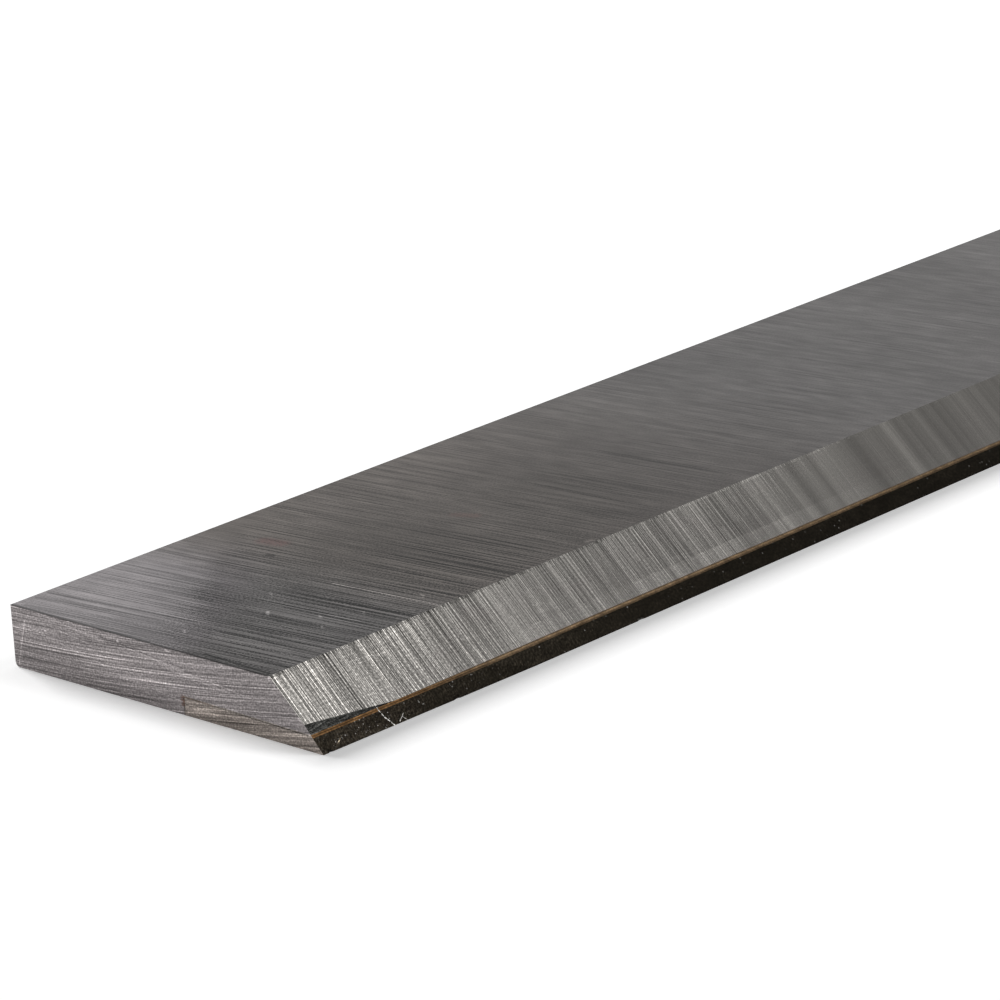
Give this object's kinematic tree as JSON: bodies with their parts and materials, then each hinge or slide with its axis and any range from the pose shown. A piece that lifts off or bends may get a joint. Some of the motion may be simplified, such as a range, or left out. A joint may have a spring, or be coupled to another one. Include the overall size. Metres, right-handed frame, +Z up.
{
  "type": "planer knife",
  "caption": "Straight carbide-tipped planer knife: flat ground steel bar with a bevelled cutting side and a carbide strip brazed flush into a seat under the edge.",
  "frame": {"origin": "middle of the knife's length and width, on the flat face that it lies on", "axes": "+X along the knife, away from the end that the picture shows; +Y from the cutting edge to the back edge; +Z up, from the flat face to the clamping face"},
  "size_m": [0.26, 0.02, 0.003],
  "materials": {
    "ground_steel": "coarsely ground, lines across the knife",
    "braze": "ground flush, dull",
    "ground_carbide": "tungsten carbide, finely ground to a dark mirror on the facet"
  },
  "bodies": {
    "root": {"steel_body": "ground_steel", "braze_layer": "braze", "carbide_strip": "ground_carbide"}
  },
  "joints": []
}
